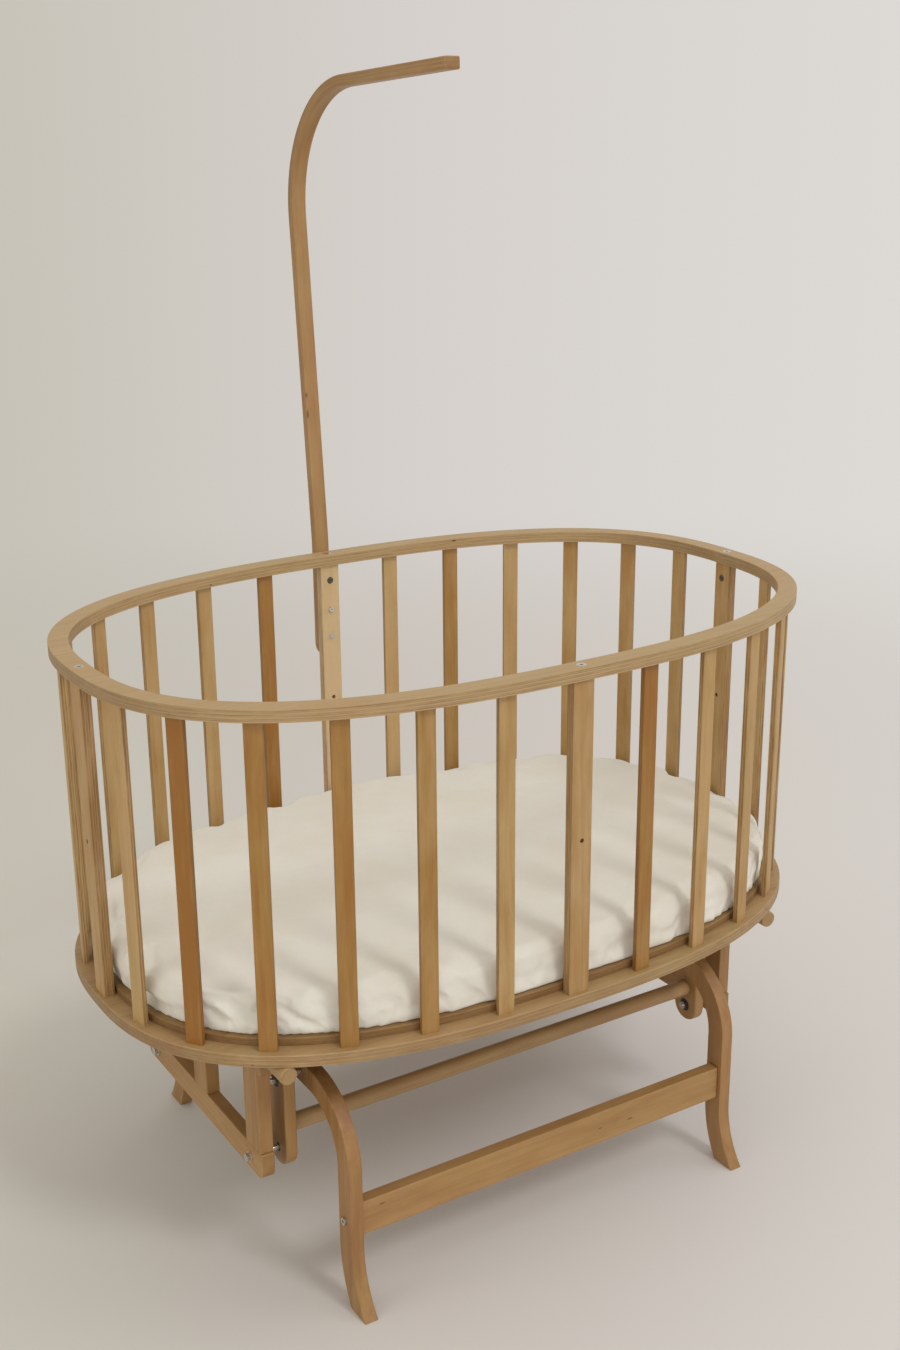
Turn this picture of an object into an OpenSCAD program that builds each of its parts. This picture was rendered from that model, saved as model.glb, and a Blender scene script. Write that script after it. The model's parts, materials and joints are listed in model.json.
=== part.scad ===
// Oval cradle that glides on a four-footed stand, with a canopy bar behind it.
// Millimetres. X runs along the cradle, -Y is its front and +Z is up. The origin is on the floor,
// under the middle of the whole outline.

/* [Basket] */
// Length over the oval rims
basket_len = 1000; // [800:1:1200]
// Width over the oval rims
basket_wid = 648; // [560:1:760]
// Squareness of the oval, where 2 is an ellipse
oval_power = 2.55; // [2.1:0.05:3]
// Thickness of the rim plywood
rim_t = 16; // [13:0.5:24]
// Width of the top rim's ring
top_rim_w = 25; // [22:0.5:40]
// Width of the bottom rim's ring, which also carries the base board
bottom_rim_w = 40; // [34:0.5:60]
// Height of the slats and posts that shows between the rims
slat_h = 405; // [300:1:500]

/* [Slats and posts] */
// Slats between two neighbouring posts
slats_per_quarter = 6; // [4:1:7]
// Width of a slat
slat_w = 22; // [14:0.5:30]
// Thickness of a slat
slat_t = 8; // [6.5:0.5:15]
// Rounding of a slat's long edges
slat_edge_r = 1.5; // [0.5:0.25:3]
// Distance of the slats' and posts' middle from the rims' outer edge
upright_mid = 12.5; // [11:0.25:14]
// Width of a slat's stub tenon
tenon_w = 10; // [8:0.5:12]
// Thickness of a slat's stub tenon
tenon_t = 5; // [3:0.5:6]
// Height of a slat's stub tenon
tenon_h = 8; // [5:0.5:10]
// Distance outside the rims at which the uprights are evenly spaced
spacing_offset = 33; // [0:1:60]
// Width of a post
post_w = 30; // [24:0.5:40]
// Thickness of a post
post_t = 15; // [14:0.5:19]
// Rounding of a post's long edges
post_edge_r = 3; // [1:0.25:5]
// Height of the spare board-height hole above the bottom rim
spare_hole_h = 203; // [120:1:240]
// Diameter of the spare board-height hole
spare_hole_d = 5.8; // [4:0.1:8]

/* [Base and mattress] */
// Thickness of the base board
board_t = 10; // [6:0.5:18]
// Gap between the posts' inner faces and the base board
board_gap = 2; // [1:0.5:8]
// Set-back of the mattress from the rims' outer edge
mattress_inset = 27; // [24:0.5:50]
// Height of the mattress at its edge
mattress_h = 50; // [30:1:90]
// Rise of the mattress in its middle
mattress_crown = 6; // [0:0.5:20]
// Rounding of the mattress's edges
mattress_edge_r = 14; // [6:0.5:24]

/* [Canopy bar] */
// Width of the canopy bar
bar_w = 21; // [14:0.5:30]
// Thickness of the laminated bar
bar_t = 15; // [10:0.5:20]
// Length of the bar below the top rim's upper face
bar_below_rim = 153; // [120:1:220]
// Length of the bar's straight foot
bar_foot = 150; // [120:1:250]
// Backward lean of the bar above its foot, in degrees
bar_lean = 4.5; // [1:0.5:9]
// Radius of the bend from foot to lean
bar_lean_r = 400; // [200:10:1000]
// Length of the leaning stretch
bar_upper = 442; // [300:1:520]
// Radius of the top bend at the bar's middle
bar_bend_r = 162; // [100:1:220]
// Rise of the arm towards its end, in degrees
arm_rise = 3; // [0:0.25:10]
// Length of the straight arm
arm_len = 257; // [150:1:320]
// Distance from the rim's upper face down to the upper canopy screw
canopy_screw_down = 83; // [60:1:95]
// Distance between the canopy screws
canopy_screw_pitch = 40; // [25:1:50]

/* [Rim fasteners] */
// Diameter of the rim screws
rim_screw_d = 6; // [4:0.5:6]
// Diameter of the rim screws' countersunk heads
rim_head_d = 13; // [10:0.5:14]
// Height of the countersunk heads
rim_head_h = 3.6; // [2.5:0.1:5]
// Diameter of the barrel nuts
barrel_d = 10; // [9:0.5:12]
// Length of the barrel nuts
barrel_len = 12; // [10:0.5:14]
// Distance from a post's end to its barrel nut
barrel_depth = 23; // [18:1:40]
// Diameter of the canopy screws
canopy_screw_d = 5; // [4:0.5:6]
// Diameter of the canopy screws' heads
canopy_head_d = 8; // [7:0.5:12]
// Height of the canopy screws' heads
canopy_head_h = 2.6; // [2:0.1:4]

/* [Hanging frames] */
// Thickness of the hanging frames' posts and rails
hanger_t = 18; // [15:0.5:24]
// Height of the hanging frames' bottom rails
hanger_rail_h = 36; // [30:0.5:50]
// Length of the hanging frames' bottom rails
hanger_rail_len = 360; // [350:1:400]
// Width of a hanging frame's posts
hanger_post_w = 40; // [30:0.5:50]
// Height of the hanging frames' posts that shows
hanger_post_h = 126; // [100:1:180]
// Distance of the outer posts from the middle of the frame
hanger_post_y = 157; // [150:1:158]
// Height of a hanging frame's post tenons
post_tenon_h = 9; // [6:0.5:10]
// Height of the hanging frames' caps
cap_h = 16; // [14:0.5:24]
// Thickness of the hanging frames' caps
cap_t = 26; // [24:0.5:34]
// Length of the hanging frames' caps
cap_len = 412; // [380:1:430]
// Diameter of the rods that carry the basket on the caps
rest_rod_d = 22; // [20:0.5:26]
// Length of the rods that carry the basket
rest_rod_len = 514; // [480:1:530]
// Depth of the grooves in the caps that seat the rods
rod_groove = 3; // [2:0.25:4]
// Distance of the rod screws from the middle of the rod
rod_screw_y = 226; // [224:1:230]
// Distance of the cap screws from the middle of the cap
cap_screw_y = 78; // [60:1:95]
// Diameter of the rod and cap screws
frame_screw_d = 5; // [4:0.5:6]
// Diameter of the rod and cap screws' heads
frame_head_d = 9; // [8:0.5:10]
// Height of the rod and cap screws' heads
frame_head_h = 4; // [3:0.5:5]
// Rounding of the bottom rails' lower corners
rail_corner_r = 12; // [4:0.5:16]

/* [Links] */
// Distance between a link's two pivots
link_len = 96; // [85:1:120]
// Width of a link, which is also the diameter of its ends
link_w = 46; // [40:0.5:60]
// Thickness of a link
link_t = 16.5; // [15:0.5:22]
// Distance of the pivots from the middle of the stand
pivot_y = 147; // [135:1:150]
// Diameter of the rods that tie opposite links
sync_rod_d = 22; // [18:0.5:24]
// Height of the tie rods above the links' lower pivots
sync_rod_up = 28; // [26:0.5:32]
// Diameter of the tie rods' end tenons
sync_tenon_d = 14; // [10:0.5:16]
// Length of the tie rods' end tenons
sync_tenon_len = 9; // [6:0.5:10]

/* [Pivots] */
// Diameter of the pivot bolts
pivot_d = 6; // [5:0.5:6]
// Outer diameter of the link bearings
bearing_d = 19; // [17:0.5:22]
// Width of the link bearings
bearing_w = 6; // [5:0.5:8]
// Outer diameter of the bearings' inner rings and of the spacer tubes
inner_ring_d = 9; // [8:0.25:10]
// Running clearance between a bearing's rings
bearing_play = 0.08; // [0.03:0.01:0.1]
// Clearance at the rear lower pivots
rear_play = 0.4; // [0.3:0.05:0.6]
// Gap between a link and its arch
arch_gap = 17.5; // [17:0.5:30]
// Gap between a link and its hanging frame
hanger_gap = 20; // [17:0.5:30]
// Width over flats of the hexagon heads and nuts
hex_af = 10; // [9:0.5:10]
// Height of the hexagon heads and nuts
hex_h = 5; // [3:0.5:6]
// Diameter of the washers
washer_d = 14; // [12:0.5:18]
// Thickness of the washers
washer_t = 1.6; // [1:0.1:2]

/* [Stand] */
// Distance from the middle of the stand to an arch's inner face
arch_in_x = 281; // [240:1:320]
// Thickness of an arch
arch_t = 18; // [15:0.5:25]
// Width of an arch's legs and of its top bar
leg_w = 30; // [24:0.5:40]
// Distance of the straight legs' outer faces from the middle of the stand
leg_out_y = 270; // [250:1:300]
// Height at which the straight leg ends and its shoulder begins
leg_bend_z = 190; // [170:1:230]
// Outer radius of the shoulder
shoulder_r = 98; // [70:1:120]
// Height at which a foot starts to flare
foot_z = 85; // [60:1:85]
// Radius of the flare on the outside of a foot
foot_r = 132; // [110:1:180]
// Height of a stretcher
stretcher_h = 47; // [38:0.5:60]
// Thickness of a stretcher
stretcher_t = 18; // [16:0.5:24]
// Height of a stretcher's underside above the floor
stretcher_z = 98; // [90:1:110]
// Diameter of the stretcher bolts' heads
stretcher_head_d = 10; // [8:0.5:14]
// Height of the stretcher bolts' heads
stretcher_head_h = 3; // [2:0.25:5]
// Distance from a stretcher's end to its barrel nut
stretcher_nut_in = 32; // [24:1:45]

/* [Hidden] */
// Clearance of bolts, nuts and tenons in their holes
fit_gap = 0.1;
// Steps round an oval and along an arc
oval_steps = 180;
arc_step = 3;
$fn = 48;

// Heights, from the floor up
leg_in_r = shoulder_r - leg_w;
arch_top_z = leg_bend_z + shoulder_r;
upper_pivot_z = arch_top_z - leg_w / 2;
lower_pivot_z = upper_pivot_z - link_len;
hanger_rail_z = lower_pivot_z - hanger_rail_h / 2;
hanger_post_z = hanger_rail_z + hanger_rail_h;
cap_z = hanger_post_z + hanger_post_h;
rest_rod_z = cap_z + cap_h - rod_groove + rest_rod_d / 2;
bottom_rim_z = rest_rod_z + rest_rod_d / 2;
slat_z = bottom_rim_z + rim_t;
top_rim_z = slat_z + slat_h;
rim_top = top_rim_z + rim_t;
board_top = slat_z + board_t;

// Faces of the slats and posts, and the base board's edge, in from the rims' outer edge
slat_out = upright_mid - slat_t / 2;
post_out = upright_mid - post_t / 2;
post_in = upright_mid + post_t / 2;
board_inset = post_in + board_gap;

// Places along X, from the middle out
arch_out_x = arch_in_x + arch_t;
link_in_x = arch_out_x + arch_gap;
link_out_x = link_in_x + link_t;
hanger_in_x = link_out_x + hanger_gap;
hanger_out_x = hanger_in_x + hanger_t;
cap_mid_x = hanger_in_x + cap_t / 2;

// Canopy bar: it stands on the outside of the back post, against the top rim
bar_y = basket_wid / 2 + bar_t / 2;
bar_foot_z = rim_top - bar_below_rim;
lean_centre = [bar_y + bar_lean_r, bar_foot_z + bar_foot];
bend_start = lean_centre + bar_lean_r * [-cos(bar_lean), sin(bar_lean)]
    + bar_upper * [sin(bar_lean), cos(bar_lean)];
bend_centre = bend_start + bar_bend_r * [-cos(bar_lean), sin(bar_lean)];
arm_start = bend_centre + bar_bend_r * [sin(arm_rise), cos(arm_rise)];
arm_end = arm_start + arm_len * [-cos(arm_rise), sin(arm_rise)];
bar_back_y = bend_centre.x + bar_bend_r + bar_t / 2;

// The middle of the whole outline, from the canopy bar's bend to the rims' front
row_shift = (basket_wid / 2 - bar_back_y) / 2;

// Uprights in a quarter of the oval, a post's half shares counted as one
quarter_count = slats_per_quarter + 1;
slat_count = 4 * slats_per_quarter;

// ---- the oval ----

function sgn(v) = v < 0 ? -1 : 1;

// Point of the rims' outer edge for a parameter angle
function oval_edge(t) = [
    basket_len / 2 * sgn(cos(t)) * pow(abs(cos(t)), 2 / oval_power),
    basket_wid / 2 * sgn(sin(t)) * pow(abs(sin(t)), 2 / oval_power)
];

// Outward direction of the edge at that point
function oval_dir(t) = let (
    e = 2 - 2 / oval_power,
    v = [sgn(cos(t)) * pow(abs(cos(t)), e) / basket_len, sgn(sin(t)) * pow(abs(sin(t)), e) / basket_wid]
) v / norm(v);

function oval_at(t, inset) = oval_edge(t) - inset * oval_dir(t);

module oval(inset) {
    polygon([for (i = [0:oval_steps - 1]) oval_at(360 * i / oval_steps, inset)]);
}

module oval_plate(inset, h) {
    linear_extrude(h) oval(inset);
}

module ring(w) {
    linear_extrude(rim_t) difference() {
        oval(0);
        oval(w);
    }
}

// ---- the uprights: one at each tip of the oval and evenly spaced ones between them ----

guide_steps = 180;
guide = [for (i = [0:guide_steps]) oval_at(90 * i / guide_steps, -spacing_offset)];
guide_run = [
    for (i = 0, s = 0; i <= guide_steps; s = s + (i < guide_steps ? norm(guide[i + 1] - guide[i]) : 0), i = i + 1) s
];
guide_table = [for (i = [0:guide_steps]) [guide_run[i], 90 * i / guide_steps]];

// Parameter angle of the k-th upright from the long tip, within one quarter
function quarter_angle(k) = lookup(guide_run[guide_steps] * k / quarter_count, guide_table);

// Uprights run from the left tip along the front, round the right tip and back
function upright_angle(i) = let (q = floor(i / quarter_count), k = i % quarter_count)
    q == 0 ? 180 + quarter_angle(k) :
    q == 1 ? 360 - quarter_angle(quarter_count - k) :
    q == 2 ? quarter_angle(k) : 180 - quarter_angle(quarter_count - k);

// Slat number 1 is the first after the left tip
function slat_upright(i) = i + floor((i - 1) / slats_per_quarter);
function slat_name(i) = str("slat_", i < 10 ? "0" : "", i);

// In this frame +X points outwards from the rims' edge at upright i
module at_upright(i) {
    p = oval_edge(upright_angle(i));
    d = oval_dir(upright_angle(i));
    translate([p.x, p.y, 0]) rotate(atan2(d.y, d.x)) children();
}

module at_posts() {
    for (q = [0:3]) at_upright(q * quarter_count) children();
}

module at_slats() {
    for (i = [1:slat_count]) at_upright(slat_upright(i)) children();
}

// ---- small helpers ----

// Flat bar with rounded long edges, its outer face at x = 0 and its foot at z = 0
module round_bar(t, w, h, r) {
    linear_extrude(h) {
        translate([-t, -w / 2 + r]) square([t, w - 2 * r]);
        translate([-t + r, -w / 2]) square([t - 2 * r, w]);
        for (x = [-t + r, -r], y = [-w / 2 + r, w / 2 - r]) translate([x, y]) circle(r);
    }
}

// Cylinder that runs along +X from x0 to x1
module rod_x(x0, x1, d) {
    translate([x0, 0, 0]) rotate([0, 90, 0]) cylinder(h = x1 - x0, d = d);
}

// Hexagon prism that runs along +X from x0 to x1
module hex_x(x0, x1, af) {
    translate([x0, 0, 0]) rotate([0, 90, 0]) cylinder(h = x1 - x0, d = af / cos(30), $fn = 6);
}

module tube_x(x0, x1, d_out, d_in) {
    difference() {
        rod_x(x0, x1, d_out);
        rod_x(x0 - 1, x1 + 1, d_in);
    }
}

// Upright and mirrored copy across the middle of the stand
module front_and_rear() {
    children();
    mirror([0, 1, 0]) children();
}

module left_and_right() {
    children();
    mirror([1, 0, 0]) children();
}

// ---- basket ----

// Screw hole with its countersink, mouth up at z = 0
module rim_screw_hole() {
    translate([-upright_mid, 0, 0]) {
        translate([0, 0, -rim_t - 1]) cylinder(h = rim_t + 2, d = rim_screw_d + 2 * fit_gap);
        translate([0, 0, -rim_head_h]) cylinder(
            h = rim_head_h + fit_gap, d1 = rim_screw_d + 2 * fit_gap, d2 = rim_head_d + 4 * fit_gap);
    }
}

// Pocket for a slat's stub tenon, its floor at z = 0
module mortise(z) {
    translate([-upright_mid - tenon_t / 2 - fit_gap, -tenon_w / 2 - fit_gap, z])
        cube([tenon_t + 2 * fit_gap, tenon_w + 2 * fit_gap, tenon_h + fit_gap]);
}

module top_rim() {
    color("burlywood") difference() {
        translate([0, 0, top_rim_z]) ring(top_rim_w);
        at_posts() translate([0, 0, rim_top]) rim_screw_hole();
        at_slats() mortise(top_rim_z - fit_gap);
    }
}

module bottom_rim() {
    color("burlywood") difference() {
        translate([0, 0, bottom_rim_z]) ring(bottom_rim_w);
        at_posts() translate([0, 0, bottom_rim_z]) mirror([0, 0, 1]) rim_screw_hole();
        at_slats() mortise(slat_z - tenon_h);
        left_and_right() front_and_rear() rod_screw_place() rod_screw_pilot();
    }
}

module slat(i) {
    color("tan") at_upright(slat_upright(i)) {
        translate([-slat_out, 0, slat_z]) round_bar(slat_t, slat_w, slat_h, slat_edge_r);
        translate([-upright_mid - tenon_t / 2, -tenon_w / 2, slat_z - tenon_h + fit_gap])
            cube([tenon_t, tenon_w, slat_h + 2 * tenon_h - 2 * fit_gap]);
    }
}

// Screw hole and barrel-nut hole at one end of a post, the end at z = 0 and the post above it
module post_end_holes() {
    translate([-upright_mid, 0, -1]) cylinder(h = barrel_depth + barrel_d, d = rim_screw_d + 2 * fit_gap);
    translate([0, 0, barrel_depth]) rod_x(
        -post_in - 1, -post_in + barrel_len + fit_gap, barrel_d + 2 * fit_gap);
}

module post(q) {
    color("tan") difference() {
        at_upright(q * quarter_count) difference() {
            translate([-post_out, 0, slat_z]) round_bar(post_t, post_w, slat_h, post_edge_r);
            translate([0, 0, slat_z]) post_end_holes();
            translate([0, 0, top_rim_z]) mirror([0, 0, 1]) post_end_holes();
            translate([0, 0, slat_z + spare_hole_h])
                rod_x(-post_in - 1, 1 - post_out, spare_hole_d);
            if (q == 3) at_canopy_screws()
                rod_x(-post_in - 1, 1 - post_out, canopy_screw_d + 2 * fit_gap);
        }
    }
}

module left_post() post(0);
module front_post() post(1);
module right_post() post(2);
module back_post() post(3);

// One screw and its head, the head's top at z = 0 and the screw below it
module rim_screw() {
    shank = rim_t + barrel_depth + barrel_d / 2 + 2;
    translate([-upright_mid, 0, 0]) difference() {
        union() {
            translate([0, 0, -rim_head_h]) cylinder(h = rim_head_h, d1 = rim_screw_d, d2 = rim_head_d);
            translate([0, 0, -shank]) cylinder(h = shank, d = rim_screw_d);
        }
        translate([0, 0, -rim_head_h * 0.7]) cylinder(h = rim_head_h, d = rim_screw_d * 0.75, $fn = 6);
    }
}

module rim_screws() {
    color("silver") at_posts() {
        translate([0, 0, rim_top]) rim_screw();
        translate([0, 0, bottom_rim_z]) mirror([0, 0, 1]) rim_screw();
    }
}

// Cross nut with its screw hole and a slot in the end that shows
module barrel_nut() {
    inner = -post_in;
    difference() {
        rod_x(inner, inner + barrel_len, barrel_d);
        translate([-upright_mid, 0, -barrel_d]) cylinder(h = 2 * barrel_d, d = rim_screw_d + fit_gap);
        translate([inner - 1, -barrel_d, -barrel_d / 16]) cube([2, 2 * barrel_d, barrel_d / 8]);
    }
}

module barrel_nuts() {
    color("silver") at_posts() {
        translate([0, 0, slat_z + barrel_depth]) barrel_nut();
        translate([0, 0, top_rim_z - barrel_depth]) barrel_nut();
    }
}

module base_board() {
    color("wheat") translate([0, 0, slat_z]) oval_plate(board_inset, board_t);
}

// The mattress is a stack of ovals: rounded sides that draw in above and below, and a crowned top
mattress_points = 72;
side_rings = 6;
crown_rings = 4;
function side_ring(j) = let (
    f = 180 * j / side_rings - 90,
    r = mattress_edge_r,
    z = j <= side_rings / 2 ? r * (1 + sin(f)) : mattress_h - r * (1 - sin(f))
) [r * (1 - pow(cos(f), 0.9)), z];
function crown_ring(j) = let (u = 1 - j / (crown_rings + 1))
    [mattress_edge_r + (1 - u) * (basket_wid / 2 - mattress_inset - mattress_edge_r), mattress_h
        + mattress_crown * (1 - pow(u, 2))];
mattress_rings = concat([for (j = [0:side_rings]) side_ring(j)], [for (j = [1:crown_rings]) crown_ring(j)]);

module mattress() {
    n = mattress_points;
    m = len(mattress_rings);
    rings = [
        for (ring = mattress_rings, i = [0:n - 1])
            let (p = oval_at(360 * i / n, mattress_inset + ring[0])) [p.x, p.y, board_top + ring[1]]
    ];
    points = concat(rings, [[0, 0, board_top], [0, 0, board_top + mattress_h + mattress_crown]]);
    walls = [
        for (j = [0:m - 2], i = [0:n - 1]) let (a = j * n + i, b = j * n + (i + 1) % n)
            each [[a, a + n, b], [b, a + n, b + n]]
    ];
    floor_faces = [for (i = [0:n - 1]) [m * n, i, (i + 1) % n]];
    top_faces = [for (i = [0:n - 1]) [m * n + 1, (m - 1) * n + (i + 1) % n, (m - 1) * n + i]];
    color("ivory") polyhedron(points, concat(walls, floor_faces, top_faces));
}

// ---- canopy bar ----

// One edge of the bar from foot to arm, s beside its middle line: positive is the back and top
function bar_edge(s) = concat(
    [[bar_y + s, bar_foot_z + max(0, s)]],
    [for (a = [0:0.5:bar_lean]) lean_centre + (bar_lean_r - s) * [-cos(a), sin(a)]],
    [for (a = [-bar_lean:arc_step:90 - arm_rise - 1]) bend_centre + (bar_bend_r + s) * [cos(a), sin(a)]],
    [arm_start + s * [sin(arm_rise), cos(arm_rise)], arm_end + s * [sin(arm_rise), cos(arm_rise)]]
);

// Rounded back corner at the foot
function bar_foot_round() = let (r = bar_t * 0.8)
    [for (a = [-90:15:-15]) [bar_y + bar_t / 2 - r + r * cos(a), bar_foot_z + r + r * sin(a)]];

function reversed(list) = [for (i = [len(list) - 1:-1:0]) list[i]];
function tail(list) = [for (i = [1:len(list) - 1]) list[i]];

module at_canopy_screws() {
    for (k = [0:1]) translate([0, 0, rim_top - canopy_screw_down - k * canopy_screw_pitch]) children();
}

module canopy_bar() {
    color("tan") difference() {
        translate([-bar_w / 2, 0, 0]) rotate([90, 0, 90]) linear_extrude(bar_w)
            polygon(concat(bar_foot_round(), tail(bar_edge(bar_t / 2)), reversed(bar_edge(-bar_t / 2))));
        at_upright(3 * quarter_count) at_canopy_screws() rod_x(-1, bar_t * 0.75, canopy_screw_d + 2 * fit_gap);
    }
}

module canopy_screws() {
    inner = -post_in;
    color("silver") at_upright(3 * quarter_count) at_canopy_screws() difference() {
        union() {
            rod_x(inner - canopy_head_h, inner - fit_gap, canopy_head_d);
            rod_x(inner - 1, bar_t * 0.7, canopy_screw_d);
        }
        hex_x(inner - canopy_head_h - 1, inner - canopy_head_h * 0.3, canopy_screw_d * 0.6);
    }
}

// ---- hanging frames: the one on the right, mirrored for the left ----

module rest_rod() {
    color("burlywood") difference() {
        translate([cap_mid_x, -rest_rod_len / 2, rest_rod_z])
            rotate([-90, 0, 0]) cylinder(h = rest_rod_len, d = rest_rod_d);
        front_and_rear() rod_screw_place() rod_screw_hole();
        cap_screw_place() cap_screw_hole(cap_screw_up);
    }
}

// The rod screws run up through the rods into the bottom rim
module rod_screw_place() {
    translate([cap_mid_x, -rod_screw_y, rest_rod_z - rest_rod_d / 2]) children();
}

rod_screw_up = rest_rod_d + rim_t * 0.6;

module rod_screw_hole() {
    translate([0, 0, -1]) cylinder(h = rest_rod_d + 2, d = frame_screw_d + 2 * fit_gap);
    translate([0, 0, -1]) cylinder(h = frame_head_h + 1, d = frame_head_d + 2 * fit_gap);
}

module rod_screw_pilot() {
    translate([0, 0, rest_rod_d - 1]) cylinder(
        h = rod_screw_up - rest_rod_d + 1 + fit_gap, d = frame_screw_d + 2 * fit_gap);
}

// The cap screws run up through the caps into the rods
cap_screw_up = cap_h + rest_rod_d / 2;

module cap_screw_place() {
    for (y = [-cap_screw_y, cap_screw_y]) translate([cap_mid_x, y, cap_z]) children();
}

module up_screw(up) {
    difference() {
        union() {
            cylinder(h = frame_head_h - fit_gap, d = frame_head_d);
            cylinder(h = up, d = frame_screw_d);
        }
        translate([0, 0, -1]) cylinder(h = frame_head_h * 0.6 + 1, d = frame_screw_d * 0.7, $fn = 6);
    }
}

module cap_screw_hole(up) {
    translate([0, 0, -1]) cylinder(h = up + 1 + fit_gap, d = frame_screw_d + 2 * fit_gap);
    translate([0, 0, -1]) cylinder(h = frame_head_h + 1, d = frame_head_d + 2 * fit_gap);
}

module hanger_screws() {
    color("silver") left_and_right() {
        front_and_rear() rod_screw_place() up_screw(rod_screw_up);
        cap_screw_place() up_screw(cap_screw_up);
    }
}

// Stub tenon of a hanging-frame post, s larger all round
module post_tenon(z, h, s) {
    translate([hanger_in_x + hanger_t / 4 - s, -hanger_post_w / 4 - s, z])
        cube([hanger_t / 2 + 2 * s, hanger_post_w / 2 + 2 * s, h]);
}

module at_hanger_posts() {
    for (y = [-hanger_post_y, 0, hanger_post_y]) translate([0, y, 0]) children();
}

module hanger_cap() {
    color("burlywood") difference() {
        translate([hanger_in_x, -cap_len / 2, cap_z]) cube([cap_t, cap_len, cap_h]);
        translate([cap_mid_x, -cap_len, rest_rod_z]) rotate([-90, 0, 0]) cylinder(h = 2 * cap_len, d = rest_rod_d);
        at_hanger_posts() post_tenon(cap_z - 1, post_tenon_h + 1, fit_gap);
        cap_screw_place() cap_screw_hole(cap_screw_up);
    }
}

module hanger_rail() {
    color("burlywood") difference() {
        translate([hanger_in_x, 0, hanger_rail_z]) hanger_rail_body();
        at_hanger_posts() post_tenon(hanger_post_z - post_tenon_h, post_tenon_h + 1, fit_gap);
        front_and_rear() translate([0, -pivot_y, lower_pivot_z])
            rod_x(hanger_in_x - 1, hanger_out_x + 1, pivot_d + 2 * fit_gap);
    }
}

// Rail with rounded lower corners
module hanger_rail_body() {
    half = hanger_rail_len / 2;
    rotate([90, 0, 90]) linear_extrude(hanger_t) {
        translate([-half, rail_corner_r]) square([2 * half, hanger_rail_h - rail_corner_r]);
        translate([-half + rail_corner_r, 0]) square([2 * (half - rail_corner_r), rail_corner_r]);
        for (y = [-half + rail_corner_r, half - rail_corner_r]) translate([y, rail_corner_r]) circle(rail_corner_r);
    }
}

module hanger_posts() {
    color("tan") at_hanger_posts() {
        translate([hanger_in_x, -hanger_post_w / 2, hanger_post_z]) cube([hanger_t, hanger_post_w, hanger_post_h]);
        post_tenon(hanger_post_z - post_tenon_h + fit_gap, hanger_post_h + 2 * post_tenon_h - 2 * fit_gap, 0);
    }
}

module left_rest_rod() mirror([1, 0, 0]) rest_rod();
module right_rest_rod() rest_rod();
module left_hanger_cap() mirror([1, 0, 0]) hanger_cap();
module right_hanger_cap() hanger_cap();
module left_hanger_rail() mirror([1, 0, 0]) hanger_rail();
module right_hanger_rail() hanger_rail();
module left_hanger_posts() mirror([1, 0, 0]) hanger_posts();
module right_hanger_posts() hanger_posts();

// ---- links: the right front one, mirrored for the others ----

spacer_bore_d = inner_ring_d + 3;
lower_seat_x = link_in_x;
upper_seat_x = link_out_x - bearing_w;

module front_link() {
    color("tan") difference() {
        translate([link_in_x, -pivot_y, 0]) {
            translate([0, -link_w / 2, lower_pivot_z]) cube([link_t, link_w, link_len]);
            for (z = [lower_pivot_z, upper_pivot_z]) translate([0, 0, z]) rod_x(0, link_t, link_w);
        }
        translate([0, -pivot_y, lower_pivot_z]) {
            rod_x(link_in_x - 1, link_out_x + 1, spacer_bore_d);
            rod_x(lower_seat_x - 1, lower_seat_x + bearing_w, bearing_d);
        }
        translate([0, -pivot_y, upper_pivot_z]) {
            rod_x(link_in_x - 1, link_out_x + 1, spacer_bore_d);
            rod_x(upper_seat_x, upper_seat_x + bearing_w + 1, bearing_d);
        }
        translate([0, -pivot_y, lower_pivot_z + sync_rod_up])
            rod_x(link_in_x - 1, link_in_x + sync_tenon_len + fit_gap, sync_tenon_d + 2 * fit_gap);
    }
}

module left_front_link() mirror([1, 0, 0]) front_link();
module right_front_link() front_link();
module left_rear_link() mirror([1, 0, 0]) mirror([0, 1, 0]) front_link();
module right_rear_link() mirror([0, 1, 0]) front_link();

module sync_rod() {
    color("burlywood") translate([0, -pivot_y, lower_pivot_z + sync_rod_up]) {
        rod_x(-link_in_x, link_in_x, sync_rod_d);
        rod_x(-link_in_x - sync_tenon_len, link_in_x + sync_tenon_len, sync_tenon_d);
    }
}

module front_sync_rod() sync_rod();
module rear_sync_rod() mirror([0, 1, 0]) sync_rod();

// Outer rings with their seals, pressed into the links
module front_bearings() {
    left_and_right() translate([0, -pivot_y, 0]) {
        translate([0, 0, lower_pivot_z])
            tube_x(lower_seat_x, lower_seat_x + bearing_w, bearing_d, inner_ring_d + 2 * bearing_play);
        translate([0, 0, upper_pivot_z])
            tube_x(upper_seat_x, upper_seat_x + bearing_w, bearing_d, inner_ring_d + 2 * bearing_play);
    }
}

module front_link_bearings() {
    color("dimgray") front_bearings();
}

module rear_link_bearings() {
    color("dimgray") mirror([0, 1, 0]) front_bearings();
}

// ---- pivot bolts ----

washer_bore = pivot_d + 2 * fit_gap;

// Bolt from a head at x0, through a washer, to a nut and washer that end at x1
module bolt_and_nut(x0, x1) {
    rod_x(x0 - hex_h, x1 + hex_h + 2, pivot_d);
    hex_x(x0 - hex_h, x0 - fit_gap, hex_af);
    tube_x(x0, x0 + washer_t, washer_d, washer_bore);
    difference() {
        hex_x(x1, x1 + hex_h - fit_gap, hex_af);
        rod_x(x1 - 1, x1 + hex_h + 1, washer_bore);
    }
}

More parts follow.
